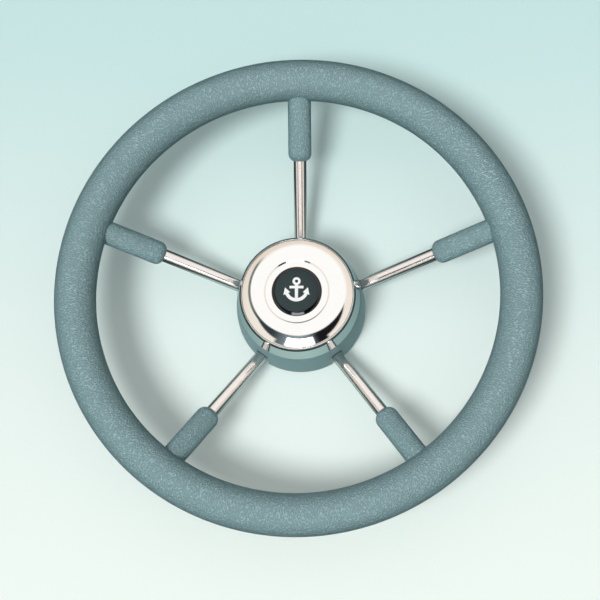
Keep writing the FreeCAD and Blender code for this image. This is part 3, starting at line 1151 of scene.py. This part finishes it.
@dataclass(frozen=True)
class Hub:
    """The polished dome and collar.

    Attributes:
        size: Sizes of the hub.
        finishes: Materials.
    """

    size: HubSize
    finishes: Finishes

    def build(self) -> None:
        """Build the dome and the collar."""
        self._cover("dome_cover", self._dome(), "hub_dome")
        self._cover("collar_ring", self._collar(), "hub_collar")

    def _cover(self, name: str, profile: list[Point], node: str) -> None:
        """Turn a closed profile into a cover.

        Args:
            name: Name of the piece.
            profile: Its points, without the first one again at the end.
            node: Name of the CAD node that it replaces.
        """
        mesh = bmesh.new()
        lathe(mesh, profile + profile[:1], COVER_STEPS, Matrix.Identity(4))
        bmesh.ops.remove_doubles(mesh, verts=mesh.verts, dist=VERY_CLOSE)
        wheel_piece(mesh, name, self.finishes.polished, [node], self.size.sharp)

    def _dome(self) -> list[Point]:
        """Return the profile of the dome.

        Returns:
            Its points: land, crease, bow, turned-down edge and the inner side.
        """
        size = self.size
        crest = size.land + size.step_rise
        start = (size.land_radius + size.step_width, crest)
        bend = (size.edge_radius - size.edge_bend, size.edge_height - 0.5 * size.edge_bend)
        brow = arc(bend, size.edge_bend, size.edge_turn, 0.0, BEND_STEPS)
        outer = [(size.cap_hole, size.land - size.hole_bevel)]
        outer += [(size.cap_hole + size.hole_bevel, size.land)]
        outer += [(size.cap_hole + 2 * size.hole_bevel, size.land)]
        outer += [(size.land_radius - size.crease_start, size.land)]
        outer += [(size.land_radius - size.crease_floor, size.land - size.crease_depth)]
        low = (size.land_radius - size.crease_end, size.land - size.crease_depth)
        high = (size.land_radius + size.flank_reach, crest - size.flank_drop)
        outer += [between(low, high, share) for share in size.flank_shares]
        outer += bowed(start, brow[0], size.bow, BOW_STEPS)
        outer += brow[1:]
        bottom = size.edge_height - size.edge_depth
        inner = size.edge_radius - size.sheet
        under = [(size.edge_radius, bottom), (inner, bottom)]
        under += [(inner, size.edge_height - size.edge_bend)]
        under += [(start[0], crest - size.step_ease * size.sheet)]
        under += [(radius, size.land - size.sheet) for radius in (size.land_radius, size.cap_hole)]
        return outer + under

    def _collar(self) -> list[Point]:
        """Return the profile of the collar.

        Returns:
            Its points: flange, foot, side, shoulder, lip and the inner side.
        """
        size = self.size
        foot = (size.foot_radius - size.foot_bend, size.waist + size.foot_bend)
        lip = (size.mouth_radius + size.lip_round, size.collar_top - size.lip_round)
        brow = arc(lip, size.lip_round, size.lip_start, 180.0, LIP_STEPS)
        low = (size.shoulder_reach, size.collar_top - size.shoulder_drop)
        outer = [(size.flange_bore, size.waist)]
        outer += arc(foot, size.foot_bend, -90.0, size.foot_turn, BEND_STEPS)
        start = outer[-1]
        outer += [between(start, low, step / COLLAR_RINGS) for step in range(1, COLLAR_RINGS)]
        outer += bowed(brow[0], low, size.shoulder_radius, SHOULDER_STEPS)[:0:-1]
        sheet = size.collar_sheet
        inner = [(size.mouth_radius, low[1])]
        inner += [(size.shoulder_reach - sheet, low[1] - 0.5 * size.shoulder_drop)]
        inner += [(size.foot_radius - sheet, size.waist + size.corner_ease * sheet)]
        inner += [(size.foot_radius - size.corner_ease * sheet, size.waist + sheet)]
        return outer + brow + inner + [(size.flange_bore, size.waist + sheet)]


@dataclass(frozen=True)
class Anchor:
    """A plain anchor about 18 mm high, in millimetres from the middle of the disc.

    Attributes:
        half: Half the width of the shank, and the inner radius of the ring.
        ring: Height of the ring's centre.
        ring_outer: Outer radius of the ring.
        shank: Lower and upper end of the shank.
        stock: Lower and upper edge of the stock.
        stock_reach: Half the length of the stock.
        arms: Height of the centre of the arms.
        arm_radii: Inner and outer radius of the arms.
        arm_end: How far below level the arms end, in degrees.
        fluke_radii: Inner and outer end of a fluke's base.
        fluke_tip: Tip of the right fluke.
    """

    half: float = 1.15
    ring: float = 6.7
    ring_outer: float = 2.9
    shank: Span = (-5.9, 3.9)
    stock: Span = (1.4, 3.3)
    stock_reach: float = 5.0
    arms: float = 0.4
    arm_radii: Span = (6.2, 8.6)
    arm_end: float = 22.0
    fluke_radii: Span = (4.8, 10.1)
    fluke_tip: Point = (8.2, 2.1)

    def outlines(self) -> list[list[Point]]:
        """Return the outlines of flat pieces that only touch.

        Returns:
            The corners of each piece.
        """
        half, (bottom, top) = self.half, self.shank
        pieces = band((0.0, self.ring), (half, self.ring_outer), -90.0, 270.0)
        pieces.append([(-half, top), (-half, bottom), (half, bottom), (half, top)])
        low, high = self.stock
        for side, end in ((-1.0, self.arm_end - 180.0), (1.0, -self.arm_end)):
            near, far = side * half, side * self.stock_reach
            pieces.append([(near, low), (far, low), (far, high), (near, high)])
            start, stop = sorted((-90.0, end))
            pieces += band((0.0, self.arms), self.arm_radii, start, stop)
            tips = [arc((0.0, self.arms), radius, end, end, 1)[0] for radius in self.fluke_radii]
            pieces.append([*tips, (side * self.fluke_tip[0], self.fluke_tip[1])])
        return pieces


def band(centre: Point, radii: Span, start: float, end: float) -> list[list[Point]]:
    """Return the four-cornered pieces of a flat ring or part of one.

    Args:
        centre: Centre of the ring.
        radii: Inner and outer radius.
        start: First angle in degrees.
        end: Last angle in degrees.

    Returns:
        The outlines of the pieces.
    """
    inside, outside = (arc(centre, radius, start, end, BAND_STEPS) for radius in radii)
    return [list(corners) for corners in zip(inside, inside[1:], outside[1:], outside)]


@dataclass(frozen=True)
class Cap:
    """The black cap, its disc and the plain printed mark.

    Attributes:
        size: Sizes of the cap.
        hub: Sizes of the hub.
        finishes: Materials.
    """

    size: CapSize
    hub: HubSize
    finishes: Finishes

    @property
    def lift(self) -> Matrix:
        """The place of the cap: its heights are measured from the dome's land."""
        return Matrix.Translation(Vector((0.0, 0.0, self.hub.land * MM)))

    def build(self) -> None:
        """Build the bezel, the disc and the mark."""
        self._turned("cap_body", self._bezel(), self.finishes.black, "cap_bezel")
        self._turned("cap_disc_print", self._disc(), self.finishes.disc, "cap_face")
        self._mark()

    def _turned(self, name: str, profile: list[Point], finish: Finish, node: str) -> None:
        """Turn a profile into a piece of the cap.

        Args:
            name: Name of the piece.
            profile: Its points, measured from the land.
            finish: Its material.
            node: Name of the CAD node that it replaces.
        """
        mesh = bmesh.new()
        lathe(mesh, profile, CAP_STEPS, self.lift)
        wheel_piece(mesh, name, finish, [node])

    def _bezel(self) -> list[Point]:
        """Return the profile of the cap's body.

        Returns:
            Its points: skirt, foot, edge, crown and the seat of the face.
        """
        size = self.size
        seat = size.crown(size.face_radius, size.face_radius, 1)[0][1] - size.face_edge
        brow = size.radius - size.brow_inset * size.edge_round
        slope = math.degrees(math.asin((brow - size.crown_flat) / size.crown_radius))
        crown = size.crown(brow, size.face_radius + size.mouth_bevel, BROW_STEPS)
        bend = (size.radius - size.edge_round, crown[0][1] - size.brow_rise * size.edge_round)
        profile = [(size.skirt_radius - size.skirt_wall, -size.skirt_depth)]
        profile += [(size.skirt_radius, -size.skirt_depth), (size.skirt_radius, 0.0)]
        profile += [(size.radius - size.foot_bevel, 0.0), (size.radius, size.foot_bevel)]
        profile += arc(bend, size.edge_round, 0.0, 90.0 - slope, EDGE_STEPS)
        profile += crown[1:]
        wall = size.face_radius + size.face_gap
        return profile + [(wall, crown[-1][1] - size.mouth_drop), (wall, seat), (0.0, seat)]

    def _disc(self) -> list[Point]:
        """Return the profile of the face, whose domed top goes on with the crown.

        Returns:
            Its points, from the lower edge to the middle.
        """
        size = self.size
        crown = size.crown(0.0, size.crown_flat, FLAT_STEPS)
        crown += size.crown(size.crown_flat, size.face_radius, CROWN_STEPS)[1:]
        rim, top = crown[-1]
        profile = [(rim, top - size.face_edge + size.face_seat), (rim, top - size.face_bevel)]
        return profile + [(rim - size.face_bevel, top - size.face_drop)] + crown[-2::-1]

    def _mark(self) -> None:
        """Print a plain anchor on the flat middle of the face."""
        height = self.size.height + self.size.ink
        mesh = bmesh.new()
        for outline in Anchor().outlines():
            spots = [self.lift @ (Vector((x, y, height)) * MM) for x, y in outline]
            mesh.faces.new([mesh.verts.new(spot) for spot in spots])
        wheel_piece(mesh, "cap_mark", self.finishes.mark)


@dataclass(frozen=True)
class InnerParts:
    """CAD nodes that are shown as they are, each with its own finish.

    Attributes:
        finishes: Materials.
    """

    finishes: Finishes

    def build(self) -> None:
        """Give each node its material."""
        looks = {
            "rim_core": self.finishes.turned,
            "hub_boss": self.finishes.turned,
            "rear_shroud": self.finishes.shroud,
            "cover_carrier": self.finishes.plastic,
            "boss_screws": self.finishes.screws,
            "cover_screws": self.finishes.screws,
            "cap_seal": self.finishes.seal,
        }
        for name, finish in looks.items():
            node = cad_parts[name]
            node.data.materials.clear()
            node.data.materials.append(finish.material)
            LOG.info("node %s gets %s", name, finish.label)


@dataclass(frozen=True)
class CameraPlace:
    """Where the photograph was taken from, in the row's frame.

    Attributes:
        place: Camera position in millimetres.
        look: Direction of view.
        up: Direction that is up in the picture.
        lens: Focal length in millimetres.
        sensor: Width of the sensor in millimetres.
        near: Distance in metres under which nothing is drawn.
    """

    place: tuple[float, float, float] = (69.59, -261.49, 1126.22)
    look: tuple[float, float, float] = (-0.061, 0.2317, -0.9709)
    up: tuple[float, float, float] = (0.0028, 0.9727, 0.232)
    lens: float = 92.28
    sensor: float = 36.0
    near: float = 0.01


@dataclass(frozen=True)
class Light:
    """The distant soft lamp that gives the shadows, and the soft light from above.

    Attributes:
        aim: Direction toward the lamp.
        spread: Width of the lamp as seen from the wheel, in degrees.
        level: How brightly it lights a white floor, where 1 shows white as white.
        colour: Its colour.
        fill_low: Level of the soft light at the horizon.
        fill_top: What it gains toward the top.
        fill_colour: Its colour.
        floor_share: Share of the floor's colour that these lights light.
        floor_level: Level at which the eye sees the floor.
    """

    aim: tuple[float, float, float] = (-0.335, -0.36, 1.0)
    spread: float = 19.5
    level: float = 0.6
    colour: Colour = (1.0, 0.99, 0.98)
    fill_low: float = 0.04
    fill_top: float = 0.72
    fill_colour: Colour = (1.0, 0.985, 0.975)
    floor_share: float = 0.92
    floor_level: float = 1.045

    def strength(self) -> float:
        """Return the lamp's strength square to its light."""
        return self.level * math.pi * Vector(self.aim).length / self.aim[2]

    def floor_rest(self) -> float:
        """Return what the lights leave short of the level at which the eye sees the floor."""
        return self.floor_level - (self.level + self.fill_low + self.fill_top / 2) * self.floor_share


@dataclass(frozen=True)
class FloorPaint(Finish):
    """Pale paint. What its lights leave short of its colour is shown to the eye and to gloss only.

    Attributes:
        light: The lights.
        near: Span in millimetres over which it goes over from the near to the middle colour.
        far: Span over which it goes over to the far colour.
        roughness: Roughness.
    """

    label: str = "floor_paint"
    light: Light = Light()
    near: Span = (-260.0, 60.0)
    far: Span = (-60.0, 290.0)
    roughness: float = 0.9

    def surface(self, tree: Tree) -> Sockets:
        """Let the pale colour deepen toward the rear.

        Args:
            tree: Tree in which helper nodes are added.

        Returns:
            Values or fields by input name.
        """
        y = tree.place()[1]
        pale = tree.mix(y.rise(*self.near), FLOOR_NEAR, FLOOR_MIDDLE)
        pale = tree.mix(y.rise(*self.far), pale, FLOOR_FAR)
        seen = tree.ray("Camera", "Glossy", "Transmission")
        return {
            "Base Color": tree.mix(self.light.floor_share, BLACK, pale),
            "Roughness": self.roughness,
            "Specular IOR Level": 0.0,
            "Emission Color": tree.mix(seen * self.light.floor_rest(), BLACK, pale),
            "Emission Strength": 1.0,
        }


@dataclass(frozen=True)
class PaintedFloorReflection(Finish):
    """Painted reflection of the floor under the wheel, a sheet that glows for gloss only: pale near the
    hub, with painted shadow of the hub at the right, dark farther out.

    Attributes:
        right: Span in millimetres over which it goes over from the lit colour at the left to the
            painted shadow at the right.
        out: Span of the distance from the shaft over which it goes over to the dark.
        lit_floor_glow: Colour at the left, a painted reflection of the lit floor.
        shadowed_floor_glow: Colour at the right, painted shadow of the hub in that reflection.
        dark: Colour farther out.
    """

    label: str = "painted_floor_reflection"
    shader: str = "ShaderNodeEmission"
    right: Span = (8.0, 52.0)
    out: Span = (76.0, 125.0)
    lit_floor_glow: Colour = linear(180, 208, 203)
    shadowed_floor_glow: Colour = linear(158, 188, 186)
    dark: Colour = linear(56, 74, 76)

    def surface(self, tree: Tree) -> Sockets:
        """Darken the glowing sheet away from the shaft and toward the right, where it paints the hub's
        shadow.

        Args:
            tree: Tree in which helper nodes are added.

        Returns:
            Values or fields by input name.
        """
        x, y, _ = tree.place()
        # Painted shadow: the sheet's near colour darkens toward the right, where the hub's shadow would
        # lie.
        near = tree.mix(x.rise(*self.right), self.lit_floor_glow, self.shadowed_floor_glow)
        out = (x * x + y * y).root().rise(*self.out)
        return {"Color": tree.mix(out, near, self.dark)}


@dataclass(frozen=True)
class TentGlow(Finish):
    """What mirrors see round the wheel: light overhead, cream walls, a dark front, a white card.

    Angles are in degrees. Spans say where a mask starts and ends. Those that aren't angles are
    shares of the tent's radius. Front is the bearing from the near side, turning right.

    Attributes:
        radius: Radius of the tent in metres.
        tilt: How far the overhead light leans to the rear.
        spread: How far it reaches from its middle.
        right_pull: How much its edge is drawn in at the right.
        back_bearing: Bearing of the middle of its soft rear edge.
        back: Span from that bearing over which the edge goes over to soft.
        sharp: Width of its sharp edge, and what the soft one adds.
        back_pull: How much the soft edge is drawn in.
        dark_shift: Bearing of the middle of the dark front.
        dark_width: Span of its side edges.
        dark_foot: Span of its lower edge.
        rail: Span outside the overhead light over which a dark rail starts.
        rail_lean: How much the rail's rear end comes forward at the right.
        rail_rear: Span over which it ends toward the rear.
        rail_left: Span over which it goes on at the left all the same.
        high: Span of height from which the front half is dark.
        high_rear: Span over which that ends toward the rear.
        left_shades: Colours of the dark at the left, in front and toward the rear.
        left_fade: Span between them.
        front_shade: Colour of the dark front.
        front_start: Span over which it starts at the left.
        right_shade: Colour of the dark at the right.
        right_start: Span over which it starts.
        walls: Colours of the walls, low and high.
        wall_rise: Span between them.
        card_width: Span of the card's side edges.
        card_height: Height of its middle.
        card_edge: Span of its upper and lower edge.
        card: Colour of the card.
        base_rise: Span of the upper edge of the wall's base.
        base: Colour of the base.
        overhead: Colour of the overhead light.
    """

    label: str = "tent_glow"
    shader: str = "ShaderNodeEmission"
    radius: float = 3.0
    tilt: float = 18.6
    spread: float = 51.2
    right_pull: float = 0.045
    back_bearing: float = 77.5
    back: Span = (60.0, 44.0)
    sharp: Span = (0.014, 0.04)
    back_pull: float = 0.2
    dark_shift: float = 3.5
    dark_width: Span = (42.0, 36.0)
    dark_foot: Span = (33.0, 38.0)
    rail: Span = (-0.07, -0.045)
    rail_lean: float = 0.25
    rail_rear: Span = (0.16, -0.02)
    rail_left: Span = (0.0, -0.2)
    high: Span = (41.0, 44.0)
    high_rear: Span = (0.2, -0.1)
    left_shades: tuple[Colour, Colour] = (linear(50, 60, 64), linear(112, 124, 120))
    left_fade: Span = (-0.3, 0.1)
    front_shade: Colour = linear(134, 148, 152)
    front_start: Span = (-48.0, -12.0)
    right_shade: Colour = linear(24, 25, 29)
    right_start: Span = (6.0, 32.0)
    walls: tuple[Colour, Colour] = ((0.84, 0.72, 0.61), (0.92, 0.85, 0.76))
    wall_rise: Span = (12.0, 40.0)
    card_width: Span = (22.5, 17.0)
    card_height: float = 45.1
    card_edge: Span = (7.5, 5.8)
    card: Colour = (6.5, 6.6, 6.7)
    base_rise: Span = (12.5, 8.5)
    base: Colour = linear(38, 56, 60)
    overhead: Colour = (1.04, 1.035, 1.015)

    def surface(self, tree: Tree) -> Sockets:
        """Paint the tent from its walls up to the overhead light.

        Args:
            tree: Tree in which helper nodes are added.

        Returns:
            Values or fields by input name.
        """
        x, y, z = (part / (self.radius / MM) for part in tree.place())
        height = z.lift()
        front = x.bearing(-y)
        inside, back = self._overhead(x, y, z)
        dark = self._dark(y, height, front)
        faint = (y + x.most(0.0) * self.rail_lean).rise(*self.rail_rear)
        rail = inside.rise(*self.rail) * (1.0 - back) * faint.most(x.rise(*self.rail_left))
        shade = tree.mix(y.rise(*self.left_fade), *self.left_shades)
        shade = tree.mix(front.rise(*self.front_start), shade, self.front_shade)
        shade = tree.mix(front.rise(*self.right_start), shade, self.right_shade)
        wall = tree.mix(height.rise(*self.wall_rise), *self.walls)
        colour = tree.mix(dark.most(rail), wall, shade)
        level = (height - self.card_height).size()
        card = front.size().rise(*self.card_width) * level.rise(*self.card_edge)
        colour = tree.mix(card, colour, self.card)
        colour = tree.mix(height.rise(*self.base_rise), colour, self.base)
        edge = self.sharp[0] + back * self.sharp[1]
        lit = (inside / edge - back * self.back_pull).rise(-1.0, 1.0)
        return {"Color": tree.mix(lit, colour, self.overhead)}

    def _overhead(self, x: Field, y: Field, z: Field) -> tuple[Field, Field]:
        """Return where a place lies against the edge of the overhead light.

        Args:
            x: Share of the radius to the right.
            y: Share of the radius to the rear.
            z: Share of the radius upward.

        Returns:
            How far it lies inside, as a difference of cosines, and the mask of the soft rear.
        """
        tilt, rear = math.radians(self.tilt), math.radians(self.back_bearing)
        closeness = y * math.sin(tilt) + z * math.cos(tilt) - x.most(0.0) * self.right_pull
        ahead = x * math.cos(rear) + y * math.sin(rear)
        aside = y * math.cos(rear) - x * math.sin(rear)
        back = aside.bearing(ahead).size().rise(*self.back)
        return closeness - math.cos(math.radians(self.spread)), back

    def _dark(self, y: Field, height: Field, front: Field) -> Field:
        """Return the mask of the dark front and of the dark over it.

        Args:
            y: Share of the radius to the rear.
            height: Angle above the floor.
            front: Bearing from the near side.

        Returns:
            The mask.
        """
        low = (front - self.dark_shift).size().rise(*self.dark_width) * height.rise(*self.dark_foot)
        return low.most(height.rise(*self.high) * y.rise(*self.high_rear))


@dataclass(frozen=True)
class Studio:
    """Floor, lamps, reflection tent and camera.

    Attributes:
        place: Where the photograph was taken from.
        light: The lights.
        floor_reach: Half the width of the floor in metres.
        floor_height: Height of the floor in metres, just under the wheel.
        glow_sheet_radius: Radius of the glowing sheet of painted floor reflection, in metres.
        glow_sheet_height: Its height in metres.
        horizon: Span of the direction's rear part over which the world goes over to the far colour.
    """

    place: CameraPlace
    light: Light
    floor_reach: float = 4.0
    floor_height: float = -0.0002
    glow_sheet_radius: float = 2.9
    glow_sheet_height: float = 0.0001
    horizon: Span = (-0.07, 0.07)

    def build(self) -> None:
        """Build everything that isn't part of the wheel."""
        self._floor()
        self._tent()
        self._lay_glow_sheet()
        self._lamp()
        self._world()
        self._camera()
        bpy.context.scene.view_settings.view_transform = "Standard"

    def _floor(self) -> None:
        """Lay a plain floor."""
        mesh = bmesh.new()
        bmesh.ops.create_grid(mesh, x_segments=2, y_segments=2, size=self.floor_reach)
        floor = to_object(mesh, "studio_floor", FloorPaint(light=self.light))
        floor.location.z = self.floor_height

    def _tent(self) -> None:
        """Surround the scene with a sphere that only mirrors and gloss can see."""
        glow = TentGlow()
        mesh = bmesh.new()
        bmesh.ops.create_uvsphere(
            mesh, u_segments=TENT_STEPS, v_segments=TENT_STEPS // 2, radius=glow.radius
        )
        tent = to_object(mesh, "studio_tent", glow)
        tent.data.shade_smooth()
        self._gloss_only(tent)

    def _lay_glow_sheet(self) -> None:
        """Lay a glowing sheet under the wheel that only the wheel's gloss can see, a painted reflection
        of the floor, for crisp dark edges.
        """
        mesh = bmesh.new()
        bmesh.ops.create_circle(
            mesh, cap_ends=True, segments=TENT_STEPS, radius=self.glow_sheet_radius
        )
        glow_sheet = to_object(mesh, "painted_reflection_sheet", PaintedFloorReflection())
        glow_sheet.location.z = self.glow_sheet_height
        self._gloss_only(glow_sheet)

    def _gloss_only(self, card: bpy.types.Object) -> None:
        """Hide a card from all rays but those of gloss.

        Args:
            card: The card.
        """
        card.visible_camera = False
        card.visible_diffuse = False
        card.visible_shadow = False
        card.visible_transmission = False

    def _lamp(self) -> None:
        """Hang the distant soft lamp, which neither the eye nor gloss can see."""
        key = bpy.data.lights.new("key_lamp", "SUN")
        key.angle = math.radians(self.light.spread)
        key.energy = self.light.strength()
        key.color = self.light.colour
        lamp = bpy.data.objects.new("key_lamp", key)
        lamp.location = self.light.aim
        lamp.rotation_euler = (-lamp.location).to_track_quat("-Z", "Y").to_euler()
        lamp.visible_camera = False
        lamp.visible_glossy = False
        bpy.context.collection.objects.link(lamp)

    def _world(self) -> None:
        """Light softly from above. The eye sees the floor's colours go on past its edge."""
        light = self.light
        world = bpy.data.worlds.new("studio_world")
        bpy.context.scene.world = world
        world.use_nodes = True
        tree = Tree(world.node_tree)
        _, y, z = tree.parts("Generated")
        up = z.most(0.0)
        level = light.fill_low + up * up * light.fill_top
        seen = tree.ray("Camera")
        far = tree.mix(y.rise(*self.horizon), FLOOR_NEAR, FLOOR_FAR)
        colour = tree.mix(seen, light.fill_colour, far)
        strength = level * (1.0 - seen) + seen * light.floor_level
        sky = tree.node("ShaderNodeBackground", None, {"Color": colour, "Strength": strength})
        tree.node("ShaderNodeOutputWorld", None, {"Surface": sky.outputs[0]})

    def _camera(self) -> None:
        """Set the camera where the photograph was taken from."""
        data = bpy.data.cameras.new("photo_camera")
        data.sensor_width = self.place.sensor
        data.lens = self.place.lens
        data.clip_start = self.place.near
        camera = bpy.data.objects.new("photo_camera", data)
        look = Vector(self.place.look).normalized()
        right = look.cross(Vector(self.place.up)).normalized()
        turn = Matrix((right, right.cross(look), -look)).transposed().to_4x4()
        camera.matrix_world = Matrix.Translation(Vector(self.place.place) * MM) @ turn
        bpy.context.collection.objects.link(camera)
        bpy.context.scene.camera = camera


class Wheel:
    """The whole wheel."""

    def __init__(self) -> None:
        """Choose the sizes and the finishes."""
        finishes = Finishes()
        rim, spokes, hub = RimSize(), SpokeSize(), HubSize()
        self.parts = [
            Rim(rim, spokes, finishes),
            Spokes(rim, spokes, finishes),
            Hub(hub, finishes),
            Cap(CapSize(), hub, finishes),
            InnerParts(finishes),
        ]

    def build(self) -> None:
        """Build each sub-assembly in turn."""
        for part in self.parts:
            LOG.info("building %s", type(part).__name__)
            part.build()


def main() -> None:
    """Build the wheel and its studio."""
    logging.basicConfig(level=logging.INFO, format="%(name)s: %(message)s")
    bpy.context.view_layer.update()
    Wheel().build()
    Studio(CameraPlace(), Light()).build()


if __name__ == "__main__":
    main()
